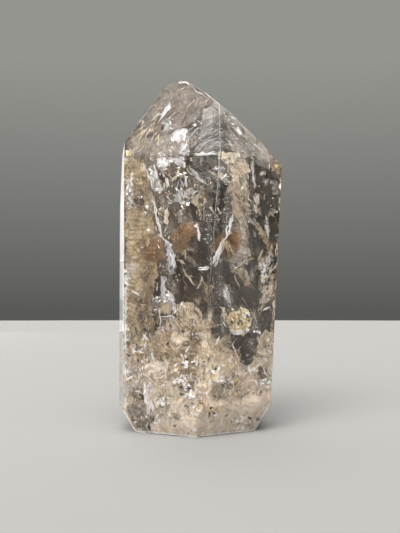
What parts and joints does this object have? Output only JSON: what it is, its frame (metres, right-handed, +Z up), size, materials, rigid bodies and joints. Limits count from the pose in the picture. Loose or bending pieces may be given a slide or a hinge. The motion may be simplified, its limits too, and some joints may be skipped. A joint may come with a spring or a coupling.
{
  "type": "crackle quartz point",
  "caption": "Upright polished quartz point, clear and faintly smoky, with an uneven slanted tip and fractures inside",
  "frame": {"origin": "on the resting face's plane, under the middle of the crystal's outline seen from above", "axes": "+X to the right and +Y to the back as seen in the picture, +Z up along the stem towards the tip"},
  "size_m": [0.0366, 0.039, 0.08],
  "materials": {
    "clear_quartz": "polished"
  },
  "bodies": {
    "root": {"crystal": "clear_quartz"}
  },
  "joints": []
}
